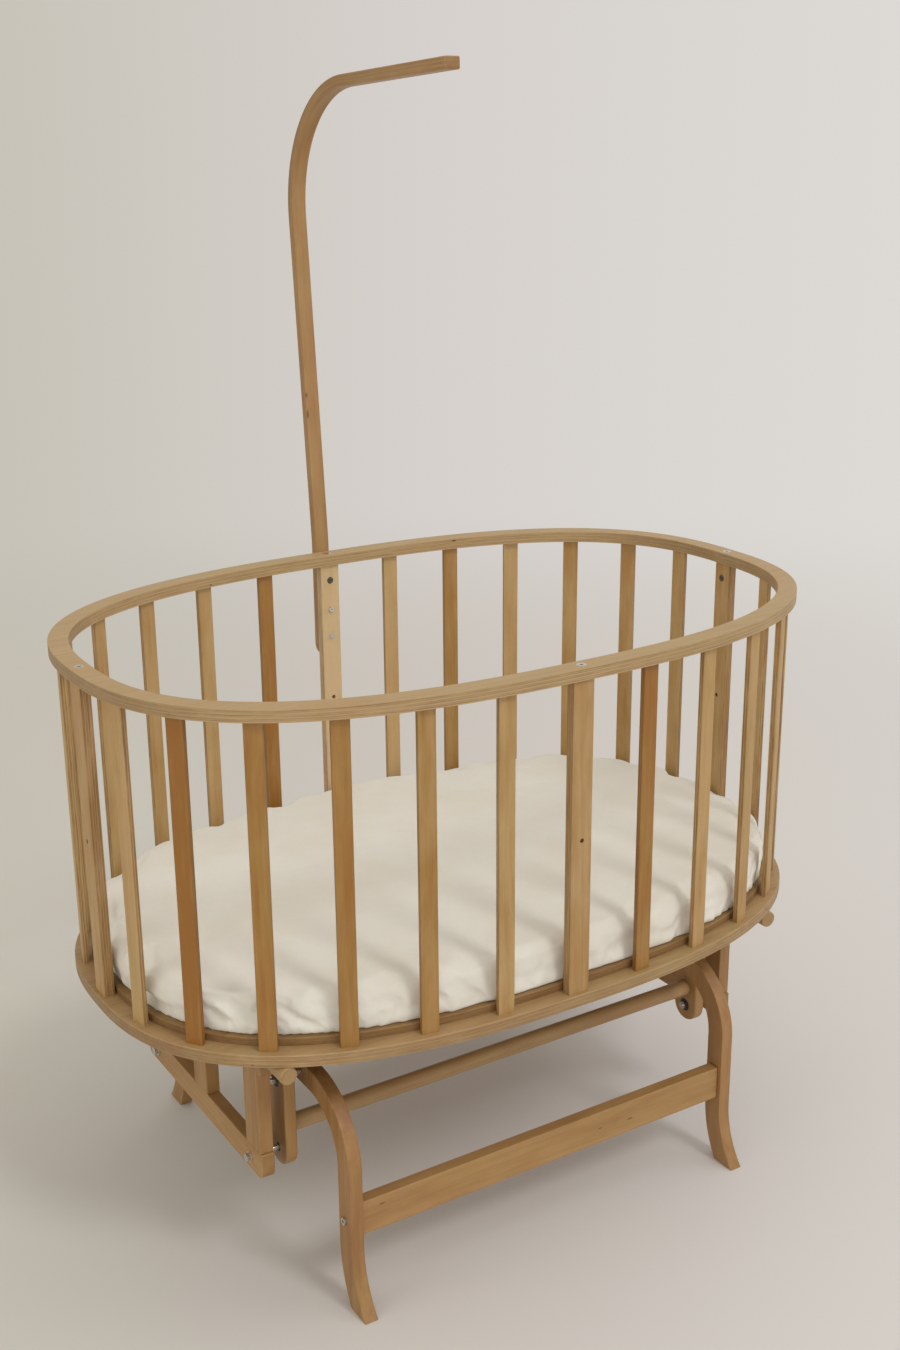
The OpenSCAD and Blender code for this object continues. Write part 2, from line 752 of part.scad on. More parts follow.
// Inner ring and spacer tube in one line, s is the ring's clearance all round
module ring_and_spacer(ring_x, tube_x0, tube_x1, s) {
    tube_x(ring_x + fit_gap, ring_x + bearing_w - fit_gap, inner_ring_d - 2 * s, washer_bore);
    tube_x(tube_x0, tube_x1, inner_ring_d - 2 * s, washer_bore);
}

// Head on the frame's outer face, nut against the bearing on the link's inner face
module lower_pivot(s) {
    translate([0, 0, lower_pivot_z]) {
        mirror([1, 0, 0]) bolt_and_nut(-hanger_out_x - washer_t, -link_in_x + fit_gap);
        ring_and_spacer(lower_seat_x, lower_seat_x + bearing_w, hanger_in_x, s);
    }
}

module lower_pivot_bolts() {
    color("silver") left_and_right() {
        translate([0, -pivot_y, 0]) lower_pivot(0);
        translate([0, pivot_y, 0]) lower_pivot(rear_play);
    }
}

// Head on the arch's inner face, nut against the bearing on the link's outer face
module upper_pivot() {
    translate([0, -pivot_y, upper_pivot_z]) {
        bolt_and_nut(arch_in_x - washer_t, link_out_x + fit_gap);
        ring_and_spacer(upper_seat_x, arch_out_x, upper_seat_x, 0);
    }
}

module upper_pivot_bolts() {
    color("silver") left_and_right() front_and_rear() upper_pivot();
}

// ---- stand ----

// Front half of an arch in Y and Z, from the middle of its top bar to its foot
function foot_arc(r) = [for (a = [0:arc_step:asin(foot_z / r)]) [-leg_out_y - foot_r + r * cos(a), foot_z - r * sin(a)]];
function foot_end(r) = [[-leg_out_y - foot_r + sqrt(r * r - foot_z * foot_z), 0]];
function shoulder_arc(r) = [
    for (a = [90:arc_step:180]) [-leg_out_y + shoulder_r + r * cos(a), leg_bend_z + r * sin(a)]
];
function leg_edge(shoulder, foot) = concat(shoulder_arc(shoulder), foot_arc(foot), foot_end(foot));
function flipped(list) = [for (p = reversed(list)) [-p.x, p.y]];

module arch_outline() {
    outer = leg_edge(shoulder_r, foot_r);
    inner = leg_edge(leg_in_r, foot_r + leg_w);
    polygon(concat(outer, reversed(inner), flipped(reversed(inner)), flipped(outer)));
}

stretcher_y = leg_out_y - leg_w / 2;
stretcher_mid_z = stretcher_z + stretcher_h / 2;

module stretcher_bolt_place() {
    translate([0, -stretcher_y, stretcher_mid_z]) children();
}

module arch() {
    color("tan") difference() {
        translate([arch_in_x, 0, 0]) rotate([90, 0, 90]) linear_extrude(arch_t) arch_outline();
        front_and_rear() translate([0, -pivot_y, upper_pivot_z])
            rod_x(arch_in_x - 1, arch_out_x + 1, pivot_d + 2 * fit_gap);
        front_and_rear() stretcher_bolt_place()
            rod_x(arch_in_x - 1, arch_out_x + 1, pivot_d + 2 * fit_gap);
    }
}

module left_arch() mirror([1, 0, 0]) arch();
module right_arch() arch();

module stretcher() {
    color("burlywood") difference() {
        translate([-arch_in_x, -stretcher_y - stretcher_t / 2, stretcher_z])
            cube([2 * arch_in_x, stretcher_t, stretcher_h]);
        left_and_right() stretcher_bolt_place() {
            rod_x(arch_in_x - stretcher_nut_in - barrel_d, arch_in_x + 1, pivot_d + 2 * fit_gap);
            translate([arch_in_x - stretcher_nut_in, 0, 0]) rotate([-90, 0, 0])
                translate([0, 0, -stretcher_t / 4]) cylinder(h = stretcher_t, d = barrel_d + 2 * fit_gap);
        }
    }
}

module front_stretcher() stretcher();
module rear_stretcher() mirror([0, 1, 0]) stretcher();

module stretcher_bolt() {
    difference() {
        union() {
            rod_x(arch_out_x + fit_gap, arch_out_x + stretcher_head_h, stretcher_head_d);
            rod_x(arch_in_x - stretcher_nut_in - barrel_d / 2 - 2, arch_out_x + 1, pivot_d);
        }
        hex_x(arch_out_x + stretcher_head_h * 0.3, arch_out_x + stretcher_head_h + 1, pivot_d * 0.65);
    }
    difference() {
        translate([arch_in_x - stretcher_nut_in, 0, 0]) rotate([-90, 0, 0])
            translate([0, 0, fit_gap - stretcher_t / 4]) cylinder(h = stretcher_t * 0.75 - fit_gap, d = barrel_d);
        rod_x(arch_in_x - stretcher_nut_in - barrel_d, arch_in_x, washer_bore);
    }
}

module stretcher_bolts() {
    color("silver") left_and_right() front_and_rear() stretcher_bolt_place() stretcher_bolt();
}

// ---- the nodes, moved from the middle of the basket to the middle of the outline ----

module placed() {
    translate([0, row_shift, 0]) children();
}

placed() top_rim();
placed() bottom_rim();
for (i = [1:slat_count]) placed() slat(i);
placed() left_post();
placed() front_post();
placed() right_post();
placed() back_post();
placed() base_board();
placed() mattress();
placed() canopy_bar();
placed() canopy_screws();
placed() rim_screws();
placed() barrel_nuts();
placed() left_rest_rod();
placed() right_rest_rod();
placed() left_hanger_cap();
placed() right_hanger_cap();
placed() left_hanger_rail();
placed() right_hanger_rail();
placed() left_hanger_posts();
placed() right_hanger_posts();
placed() hanger_screws();
placed() lower_pivot_bolts();
placed() left_front_link();
placed() right_front_link();
placed() left_rear_link();
placed() right_rear_link();
placed() front_sync_rod();
placed() rear_sync_rod();
placed() front_link_bearings();
placed() rear_link_bearings();
placed() left_arch();
placed() right_arch();
placed() front_stretcher();
placed() rear_stretcher();
placed() upper_pivot_bolts();
placed() stretcher_bolts();
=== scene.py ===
import json
import math
import random
import bmesh
import bpy
from mathutils import Matrix, Vector, noise
from mathutils.bvhtree import BVHTree

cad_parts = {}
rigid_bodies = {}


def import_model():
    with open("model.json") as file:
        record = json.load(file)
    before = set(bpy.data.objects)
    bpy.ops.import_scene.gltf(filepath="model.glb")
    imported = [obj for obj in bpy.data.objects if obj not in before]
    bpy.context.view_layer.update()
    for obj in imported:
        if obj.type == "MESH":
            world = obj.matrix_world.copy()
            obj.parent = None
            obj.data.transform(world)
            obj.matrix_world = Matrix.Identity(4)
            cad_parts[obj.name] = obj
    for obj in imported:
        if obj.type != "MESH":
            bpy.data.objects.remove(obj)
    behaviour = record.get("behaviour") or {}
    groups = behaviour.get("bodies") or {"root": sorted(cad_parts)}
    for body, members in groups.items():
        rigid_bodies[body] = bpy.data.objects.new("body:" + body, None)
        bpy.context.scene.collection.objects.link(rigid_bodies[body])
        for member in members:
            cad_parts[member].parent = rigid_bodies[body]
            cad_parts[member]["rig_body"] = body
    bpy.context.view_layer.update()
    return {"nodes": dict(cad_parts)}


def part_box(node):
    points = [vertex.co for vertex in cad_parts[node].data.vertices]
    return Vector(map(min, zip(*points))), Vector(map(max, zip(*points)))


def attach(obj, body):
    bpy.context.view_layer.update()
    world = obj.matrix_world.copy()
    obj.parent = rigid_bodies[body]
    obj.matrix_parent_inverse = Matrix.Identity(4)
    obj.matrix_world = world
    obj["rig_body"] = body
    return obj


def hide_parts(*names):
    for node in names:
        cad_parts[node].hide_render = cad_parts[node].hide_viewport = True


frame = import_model()
cadNodes = frame["nodes"]
mm = 0.001  # pieces are given in mm, the camera and the studio in metres
xAxis, yAxis, zAxis = Vector((1, 0, 0)), Vector((0, 1, 0)), Vector((0, 0, 1))
scene = bpy.context.scene
scene.view_settings.view_transform = "Standard"
print("frame loaded,", len(cadNodes), "nodes")


def srgb(r, g, b):  # a colour as picked on screen, 0 to 255
    return tuple(((c / 255 + 0.055) / 1.055) ** 2.4 for c in (r, g, b)) + (1,)


camera = {
    "place": (-1.0811, -1.7970, 1.3830),
    "yaw": 31.757,
    "pitch": 18.384,
    "roll": -0.49,
    "focalPixels": 1659.4,
    "longSidePixels": 1350,
    "sensor": 36,
    "nearest": 0.05,
    "farthest": 200,
}


def addCamera():
    data = bpy.data.cameras.new("camera")
    data.sensor_width = camera["sensor"]
    data.lens = camera["focalPixels"] * camera["sensor"] / camera["longSidePixels"]
    data.clip_start = camera["nearest"]
    data.clip_end = camera["farthest"]
    obj = bpy.data.objects.new("camera", data)
    turn = Matrix.Rotation(math.radians(-camera["yaw"]), 4, "Z")
    tilt = Matrix.Rotation(math.radians(90 - camera["pitch"]), 4, "X")
    roll = Matrix.Rotation(math.radians(camera["roll"]), 4, "Z")
    obj.matrix_world = Matrix.Translation(camera["place"]) @ turn @ tilt @ roll
    scene.collection.objects.link(obj)
    scene.camera = obj


addCamera()
print("camera placed")


def plug(tree, socket, value):
    if isinstance(value, bpy.types.NodeSocket):
        tree.links.new(value, socket)
    else:
        socket.default_value = value


def addNode(tree, kind, *inputs, **settings):
    made = tree.nodes.new("ShaderNode" + kind)
    for key, value in settings.items():
        setattr(made, key, value)
    for socket, value in zip(made.inputs, inputs):
        if value is not None:
            plug(tree, socket, value)
    return made


def calc(tree, operation, a, b=None, c=None):
    return addNode(tree, "Math", a, b, c, operation=operation).outputs[0]


def stretched(tree, vector, x, y, z):
    return addNode(tree, "VectorMath", vector, (x, y, z), operation="MULTIPLY").outputs[0]


def noiseOf(tree, vector, scale=1, detail=3, roughness=0.5):
    made = addNode(tree, "TexNoise")
    for name, value in (("Vector", vector), ("Scale", scale), ("Detail", detail), ("Roughness", roughness)):
        plug(tree, made.inputs[name], value)
    return made.outputs["Fac"]


def ranged(tree, value, low, high, toLow=0, toHigh=1):
    made = addNode(tree, "MapRange", value, low, high, toLow, toHigh, interpolation_type="SMOOTHSTEP")
    return made.outputs[0]


def blended(tree, factor, a, b, how="MIX"):
    made = addNode(tree, "Mix", data_type="RGBA", blend_type=how)
    for slot, value in ((0, factor), (6, a), (7, b)):
        plug(tree, made.inputs[slot], value)
    return made.outputs[2]


def ramped(tree, factor, stops):
    made = addNode(tree, "ValToRGB", factor)
    marks = made.color_ramp.elements
    while len(marks) < len(stops):
        marks.new(0.5)
    for mark, (place, colour) in zip(marks, stops):
        mark.position = place
        mark.color = colour
    return made.outputs["Color"]


def bumped(tree, height, strength, distance):
    made = addNode(tree, "Bump")
    plug(tree, made.inputs["Height"], height)
    plug(tree, made.inputs["Strength"], strength)
    plug(tree, made.inputs["Distance"], distance)
    return made.outputs[0]


def newMaterial(name):
    mat = bpy.data.materials.new(name)
    mat.use_nodes = True
    return mat, mat.node_tree, mat.node_tree.nodes["Principled BSDF"]


# Every wooden piece carries three attributes: grain, in mm along, across and through its board,
# cut, how squarely each face looks along those three ways, and tone, from -1 pale to 1 heartwood.
woodLooks = {
    "slatPly": {
        "pale": (199, 170, 122), "middle": (178, 144, 93), "brown": (159, 119, 60), "heart": (146, 96, 28),
        "plies": 5, "thick": 8, "figure": 0.75, "gloss": 0.5, "stripes": 1.3,
    },
    "postPly": {
        "pale": (204, 175, 134), "middle": (179, 144, 97), "brown": (159, 119, 60), "heart": (146, 96, 28),
        "plies": 9, "thick": 15, "figure": 0.7, "gloss": 0.5, "stripes": 1.2,
    },
    "rimPly": {
        "pale": (191, 163, 119), "middle": (177, 148, 104), "brown": (160, 127, 84), "heart": (139, 100, 58),
        "plies": 7, "thick": 16, "figure": 0.55, "gloss": 0.5, "stripes": 0.7,
    },
    # the base board's plywood: its own olive tint, darkened further as painted shade for the shade it lies in
    # under the mattress
    "boardPly": {
        "pale": (168, 137, 91), "middle": (150, 117, 73), "brown": (132, 97, 55), "heart": (115, 77, 39),
        "plies": 5, "thick": 10, "figure": 0.8, "gloss": 0.55, "stripes": 0.8,
    },
    "solid": {
        "pale": (188, 153, 102), "middle": (169, 130, 80), "brown": (151, 110, 63), "heart": (134, 87, 45),
        "plies": 0, "thick": 0, "figure": 0.7, "gloss": 0.46,
    },
    "rod": {
        "pale": (196, 166, 120), "middle": (178, 145, 99), "brown": (159, 124, 78), "heart": (137, 97, 55),
        "plies": 0, "thick": 0, "figure": 0.6, "gloss": 0.42,
    },
    "laminate": {
        "pale": (186, 152, 102), "middle": (167, 129, 81), "brown": (150, 107, 59), "heart": (131, 85, 41),
        "plies": 7, "thick": 15, "figure": 0.7, "gloss": 0.46, "stripes": 0.6,
    },
}
darkWood = {
    "pore": srgb(96, 62, 34), "glue": srgb(104, 70, 40), "void": srgb(70, 45, 26), "knot": srgb(92, 58, 30),
}
blushes = (  # a faint tint that wanders from olive to pink
    (0.35, (0.985, 1.0, 0.965, 1)), (0.5, (1, 1, 1, 1)), (0.65, (1.02, 0.985, 0.98, 1)),
)
depths = ((0.0, "pale"), (0.5, "middle"), (0.75, "brown"), (1.0, "heart"))

# Patterns in the wood: repeats in each mm along, across and through the board
patterns = {
    "sway": {"scale": (0.004, 0.02, 0.02), "detail": 1},
    "streak": {"scale": (0.005, 0.17, 0.17), "detail": 4, "roughness": 0.58},
    "hair": {"scale": (0.03, 1.4, 1.4), "detail": 2},
    "cloud": {"scale": (0.01, 0.045, 0.045), "detail": 3, "roughness": 0.6},
    "blush": {"scale": (0.003, 0.012, 0.012), "detail": 1},
    "pores": {"scale": (0.25, 1.9, 1.9), "detail": 1},
    "speckle": {"scale": (1.6, 1.6, 1.6), "detail": 2},
    "uneven": {"scale": (0.012, 0.012, 0.35), "detail": 1},
    "glueLine": {"scale": (0.009, 0.009, 0.1), "detail": 2},
    "patch": {"scale": (0.03, 0.03, 0.1), "detail": 2},
}
woodFinish = {
    "sway": 16.0,  # mm that the fibres wander
    "streak": 0.34, "hair": 0.1, "cloud": 0.56,  # shares of the figure
    "contrast": 1.5,
    "poreFrom": 0.62, "poreTo": 0.75, "poreDark": 0.22,
    "hairHeight": 0.5, "poreDepth": 0.3, "relief": 0.12, "reliefStrength": 0.2,
    "endFrom": 0.6, "endTo": 0.9, "endPale": 0.1, "endDark": 0.4,
    "glossier": 0.04, "duller": 0.08, "coat": 0.06, "coatRough": 0.4,
    "knotCore": 0.35, "knotDark": 0.75,
}
plyFinish = {
    "edgeFrom": 0.35, "edgeTo": 0.75,  # how square to the board a face must be to show its plies
    "wander": 1.6,  # mm that the glue lines rise and fall
    "lineShift": 870.0, "sheetShift": 370.0,  # these set each line's and each ply's pattern apart
    "faintGlue": 0.12, "strongGlue": 0.85, "glueCore": 0.07, "glueRim": 0.22,
    "faintPly": 0.1, "strongPly": 0.42, "voidFrom": 0.72, "voidTo": 0.76,
    "voidDepth": 2.0, "glueDepth": 0.6,
}


def pattern(tree, vector, name):
    spec = patterns[name]
    return noiseOf(tree, stretched(tree, vector, *spec["scale"]), detail=spec["detail"],
                   roughness=spec.get("roughness", 0.5))


def woodMaterial(name, knots=(), title=None):
    look, finish = woodLooks[name], woodFinish
    mat, tree, bsdf = newMaterial(title or name)
    grain = addNode(tree, "Attribute", attribute_name="grain").outputs["Vector"]
    tone = addNode(tree, "Attribute", attribute_name="tone").outputs["Fac"]
    cut = addNode(tree, "SeparateXYZ", addNode(tree, "Attribute", attribute_name="cut").outputs["Vector"])
    sway = calc(tree, "MULTIPLY", pattern(tree, grain, "sway"), finish["sway"])
    fibre = addNode(tree, "VectorMath", grain, addNode(tree, "CombineXYZ", 0.0, sway, sway).outputs[0],
                    operation="ADD").outputs[0]
    streak, hair, cloud = (pattern(tree, fibre, key) for key in ("streak", "hair", "cloud"))
    fine = calc(tree, "ADD", calc(tree, "MULTIPLY", hair, finish["hair"]),
                calc(tree, "MULTIPLY", cloud, finish["cloud"]))
    figure = calc(tree, "ADD", calc(tree, "MULTIPLY", streak, finish["streak"]), fine)
    swing = calc(tree, "MULTIPLY", calc(tree, "SUBTRACT", figure, 0.5), finish["contrast"] * look["figure"])
    depth = calc(tree, "ADD", calc(tree, "MULTIPLY_ADD", tone, 0.5, 0.5), swing)
    colour = ramped(tree, depth, [(place, srgb(*look[key])) for place, key in depths])
    colour = blended(tree, 1.0, colour, ramped(tree, pattern(tree, grain, "blush"), blushes), "MULTIPLY")
    pores = pattern(tree, grain, "pores")
    dark = ranged(tree, pores, finish["poreFrom"], finish["poreTo"], 0, finish["poreDark"])
    colour = blended(tree, dark, colour, darkWood["pore"])
    height = calc(tree, "MULTIPLY_ADD", hair, finish["hairHeight"],
                  calc(tree, "MULTIPLY", pores, -finish["poreDepth"]))
    if look["plies"]:
        colour, height = plyEdges(tree, look, grain, cut.outputs[2], colour, height)
    endGrain = ranged(tree, cut.outputs[0], finish["endFrom"], finish["endTo"])
    speckle = ranged(tree, pattern(tree, grain, "speckle"), 0.3, 0.7, finish["endPale"], finish["endDark"])
    endColour = blended(tree, speckle, colour, darkWood["pore"])
    colour = blended(tree, endGrain, colour, endColour)
    for place, size in knots:
        colour = knotted(tree, colour, place, size)
    plug(tree, bsdf.inputs["Base Color"], colour)
    low, high = look["gloss"] - finish["glossier"], look["gloss"] + finish["duller"]
    plug(tree, bsdf.inputs["Roughness"], ranged(tree, streak, 0.3, 0.7, low, high))
    plug(tree, bsdf.inputs["Normal"], bumped(tree, height, finish["reliefStrength"], finish["relief"] * mm))
    bsdf.inputs["Coat Weight"].default_value = finish["coat"]
    bsdf.inputs["Coat Roughness"].default_value = finish["coatRough"]
    return mat


def plyEdges(tree, look, grain, facing, colour, height):  # glue lines, cross plies and their small voids
    finish = plyFinish
    ply = look["thick"] / look["plies"]
    last = look["plies"] - 1.0
    edge = ranged(tree, facing, finish["edgeFrom"], finish["edgeTo"], 1, 0)
    along, across, through = addNode(tree, "SeparateXYZ", grain).outputs[:3]
    wander = calc(tree, "MULTIPLY_ADD", pattern(tree, grain, "uneven"), finish["wander"], -finish["wander"] / 2)
    level = calc(tree, "DIVIDE", calc(tree, "ADD", through, wander), ply)
    line = calc(tree, "MINIMUM", calc(tree, "MAXIMUM", calc(tree, "ROUND", level), 1.0), last)
    sheet = calc(tree, "MINIMUM", calc(tree, "MAXIMUM", calc(tree, "FLOOR", level), 0.0), last)
    near = calc(tree, "ABSOLUTE", calc(tree, "SUBTRACT", level, line))
    lineAt = calc(tree, "MULTIPLY", line, finish["lineShift"])
    linePlace = addNode(tree, "CombineXYZ", along, across, lineAt).outputs[0]
    strength = ranged(tree, pattern(tree, linePlace, "glueLine"), 0.38, 0.62,
                      finish["faintGlue"], finish["strongGlue"])
    glue = calc(tree, "MULTIPLY", ranged(tree, near, finish["glueCore"], finish["glueRim"], 1, 0), strength)
    sheetAt = calc(tree, "MULTIPLY", sheet, finish["sheetShift"])
    patch = pattern(tree, addNode(tree, "CombineXYZ", along, across, sheetAt).outputs[0], "patch")
    crossPly = calc(tree, "PINGPONG", sheet, 1.0)
    darker = calc(tree, "MULTIPLY", crossPly,
                  ranged(tree, patch, 0.3, 0.7, finish["faintPly"], finish["strongPly"]))
    shown = calc(tree, "MULTIPLY", edge, look["stripes"])
    colour = blended(tree, calc(tree, "MULTIPLY", darker, shown), colour, darkWood["glue"])
    gap = calc(tree, "MULTIPLY", crossPly, ranged(tree, patch, finish["voidFrom"], finish["voidTo"]))
    colour = blended(tree, calc(tree, "MULTIPLY", gap, edge), colour, darkWood["void"])
    colour = blended(tree, calc(tree, "MULTIPLY", glue, shown), colour, darkWood["glue"])
    glueGroove = calc(tree, "MULTIPLY", glue, finish["glueDepth"])
    groove = calc(tree, "MULTIPLY_ADD", gap, finish["voidDepth"], glueGroove)
    return colour, calc(tree, "SUBTRACT", height, calc(tree, "MULTIPLY", groove, edge))


def knotted(tree, colour, place, size):  # place and half sizes in mm
    spot = addNode(tree, "TexCoord").outputs["Object"]
    moved = addNode(tree, "VectorMath", spot, tuple(c * mm for c in place), operation="SUBTRACT").outputs[0]
    scaled = stretched(tree, moved, *(1 / (c * mm) for c in size))
    far = addNode(tree, "VectorMath", scaled, operation="LENGTH").outputs["Value"]
    dark = ranged(tree, far, woodFinish["knotCore"], 1.0, woodFinish["knotDark"], 0)
    return blended(tree, dark, colour, darkWood["knot"])


# the canopy bar mixes its own laminate later, with its dark marks
woods = {name: woodMaterial(name) for name in woodLooks if name != "laminate"}

metalLooks = {
    "zinc": {"base": (224, 223, 218), "rough": 0.24, "metal": 1.0},
    "darkSteel": {"base": (112, 110, 98), "rough": 0.4, "metal": 1.0},
    "seal": {"base": (46, 46, 47), "rough": 0.5, "metal": 0.0},
}
metalFinish = {
    "cloudScale": 700, "fineScale": 4000, "darkest": 0.75, "smoother": 0.07, "rougher": 0.12,
    "relief": 0.05, "reliefStrength": 0.08,
}


def metalMaterial(name):
    look, finish = metalLooks[name], metalFinish
    mat, tree, bsdf = newMaterial(name)
    place = addNode(tree, "TexCoord").outputs["Object"]
    cloudy = noiseOf(tree, place, scale=finish["cloudScale"], detail=3)
    fine = noiseOf(tree, place, scale=finish["fineScale"], detail=1)
    base = srgb(*look["base"])
    shade = tuple(c * finish["darkest"] for c in base[:3]) + (1,)
    low, high = look["rough"] - finish["smoother"], look["rough"] + finish["rougher"]
    plug(tree, bsdf.inputs["Base Color"], blended(tree, ranged(tree, cloudy, 0.35, 0.7), base, shade))
    plug(tree, bsdf.inputs["Roughness"], ranged(tree, cloudy, 0.3, 0.7, low, high))
    plug(tree, bsdf.inputs["Normal"], bumped(tree, fine, finish["reliefStrength"], finish["relief"] * mm))
    bsdf.inputs["Metallic"].default_value = look["metal"]
    return mat


metals = {name: metalMaterial(name) for name in metalLooks}
print("wood and metal mixed")

meshing = {
    "mergeWithin": 0.002, "flatWithin": 0.6,  # mm and degrees, for the copies of the CAD pieces
    "easedFrom": 32, "shortestEased": 1.2,  # degrees and mm
    "sharpFrom": 38,  # degrees
}


def camelName(node):
    first, *rest = node.split("_")
    return first + "".join(word.capitalize() for word in rest)


def finished(name, bm, material, nodes, sharpAngle=meshing["sharpFrom"]):
    mesh = bpy.data.meshes.new(name)
    bm.to_mesh(mesh)
    bm.free()
    mesh.shade_smooth()
    mesh.set_sharp_from_angle(angle=math.radians(sharpAngle))
    mesh.materials.append(material)
    obj = bpy.data.objects.new(name, mesh)
    scene.collection.objects.link(obj)
    shading = obj.modifiers.new("evenShading", "WEIGHTED_NORMAL")
    shading.keep_sharp = True
    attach(obj, cadNodes[nodes[0]]["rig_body"])
    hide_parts(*nodes)
    return obj


def merged(node):  # a clean copy of a CAD node's loose triangles
    bm = bmesh.new()
    bm.from_mesh(cadNodes[node].data)
    bmesh.ops.remove_doubles(bm, verts=bm.verts, dist=meshing["mergeWithin"] * mm)
    flat = math.radians(meshing["flatWithin"])
    bmesh.ops.dissolve_limit(bm, angle_limit=flat, verts=bm.verts, edges=bm.edges)
    return bm


def roundEdges(bm, edges, radius, segments):
    bmesh.ops.bevel(
        bm, geom=list(edges), offset=radius * mm, offset_type="OFFSET", segments=segments, profile=0.5,
        affect="EDGES", clamp_overlap=True, material=-1)


def eased(bm, radius, shortest=meshing["shortestEased"], segments=3):
    corner = math.radians(meshing["easedFrom"])  # the rims of drilled holes have shorter edges and stay crisp
    roundEdges(bm, (
        e for e in bm.edges
        if len(e.link_faces) == 2 and e.is_convex and e.calc_length() > shortest * mm
        and e.calc_face_angle() > corner), radius, segments)


def writeGrain(obj, places, cuts, tone, seed):  # places in metres and cuts: along, across, through the board
    luck = random.Random(seed)
    shift = (luck.uniform(0, 900), luck.uniform(0, 300), 0)
    mesh = obj.data
    grain = mesh.attributes.new("grain", "FLOAT_VECTOR", "POINT")
    grain.data.foreach_set("vector", [c / mm + s for place in places for c, s in zip(place, shift)])
    cut = mesh.attributes.new("cut", "FLOAT_VECTOR", "FACE")
    cut.data.foreach_set("vector", [abs(c) for way in cuts for c in way])
    depth = mesh.attributes.new("tone", "FLOAT", "POINT")
    depth.data.foreach_set("value", [tone] * len(mesh.vertices))


def markGrain(obj, along, across, through, start, tone, seed):
    ways = (along, across, through)
    places = [[(v.co - start).dot(way) for way in ways] for v in obj.data.vertices]
    cuts = [[face.normal.dot(way) for way in ways] for face in obj.data.polygons]
    writeGrain(obj, places, cuts, tone, seed)


sheets = {
    "top_rim": {"edge": 2.4, "wood": "rimPly", "slot": "rim_ply", "tone": -0.1, "seed": 3},
    "bottom_rim": {"edge": 2.0, "wood": "rimPly", "slot": "rim_ply", "tone": 0.3, "seed": 8},
    "base_board": {"edge": 1.0, "wood": "boardPly", "slot": "board_ply", "tone": 0.2, "seed": 5},
}


def addSheets():  # sawn from plywood with the face grain along the cradle
    for node, spec in sheets.items():
        bm = merged(node)
        eased(bm, spec["edge"])
        obj = finished(camelName(node), bm, woods[spec["wood"]], [node])
        markGrain(obj, xAxis, yAxis, zAxis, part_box(node)[0], spec["tone"], spec["seed"])


addSheets()
print("rims and board made")

# Slats are counted round the oval. Tones follow the photograph, one dark slat here and there.
uprights = {
    "edge": 0.6, "firstSeed": 20,
    "posts": {"left_post": 0.1, "front_post": 0.2, "right_post": 0.2, "back_post": -1.0},
    "slats": {
        1: -0.1, 2: 1.0, 3: 0.72, 4: 0.68, 5: 0.4, 6: 0.1, 7: 0.8, 8: 0.0, 9: 0.1, 10: 0.1, 11: -0.3, 12: 0.0,
        13: 0.1, 14: 0.3, 15: 0.2, 16: -0.1, 17: 0.45, 18: -0.3, 19: 0.75, 20: 0.0, 21: 0.1, 22: 0.0,
        23: 0.1, 24: -0.15,
    },
}


def outwardOf(node, middle):  # an upright's broadest flat side looks straight out of the oval
    areas = {}
    for face in cadNodes[node].data.polygons:
        if abs(face.normal.z) < 0.1:
            key = (round(face.normal.x, 2), round(face.normal.y, 2))
            areas[key] = areas.get(key, 0) + face.area
    out = Vector((*max(areas, key=areas.get), 0)).normalized()
    low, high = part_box(node)
    return out if out.dot((low + high) / 2 - middle) > 0 else -out


def addUprights():
    low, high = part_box("top_rim")
    middle = (low + high) / 2
    tones = {f"slat_{i:02d}": t for i, t in uprights["slats"].items()}
    tones.update(uprights["posts"])
    for seed, (node, tone) in enumerate(sorted(tones.items())):
        out = outwardOf(node, middle)
        bm = merged(node)
        eased(bm, uprights["edge"], segments=2)
        kind = "post" if "post" in node else "slat"
        obj = finished(camelName(node), bm, woods[kind + "Ply"], [node])
        outer = max((v.co for v in obj.data.vertices), key=lambda p: p.dot(out))
        markGrain(obj, zAxis, zAxis.cross(out), -out, outer, tone, uprights["firstSeed"] + seed)


addUprights()
print("uprights made")

# Hanging frames, links, rods and stand, all of solid beech
solidPieces = {
    "hanger_cap": {"pair": ("left", "right"), "along": yAxis, "edge": 1.2, "slot": "frame_wood", "tone": 0.3},
    "hanger_rail": {"pair": ("left", "right"), "along": yAxis, "edge": 1.8, "slot": "frame_wood", "tone": 0.1},
    "hanger_posts": {"pair": ("left", "right"), "along": zAxis, "edge": 1.2, "slot": "frame_wood", "tone": 0.3},
    "rest_rod": {"pair": ("left", "right"), "along": yAxis, "edge": 1.6, "slot": "rod_wood", "tone": 0.1,
                 "wood": "rod"},
    "front_link": {"pair": ("left", "right"), "along": zAxis, "edge": 3.0, "slot": "frame_wood", "tone": 0.1,
                   "shortest": 1.5},
    "rear_link": {"pair": ("left", "right"), "along": zAxis, "edge": 3.0, "slot": "frame_wood", "tone": 0.2,
                  "shortest": 1.5},
    "arch": {"pair": ("left", "right"), "along": zAxis, "edge": 2.8, "slot": "frame_wood", "tone": 0.38},
    "stretcher": {"pair": ("front", "rear"), "along": xAxis, "edge": 2.0, "slot": "frame_wood", "tone": 0.1},
    "sync_rod": {"pair": ("front", "rear"), "along": xAxis, "edge": 0.8, "slot": "rod_wood", "tone": 0.2,
                 "wood": "rod"},
}

solidSeed = 50
# Short dark marks on the front stretcher: middle and half size in mm
stretcherKnots = (
    ((-252, -289.7, 133.5), (6, 3, 1.6)),
    ((79, -289.7, 121), (5, 3, 1.3)),
    ((128.7, -289.7, 118.5), (7, 3, 1.7)),
)


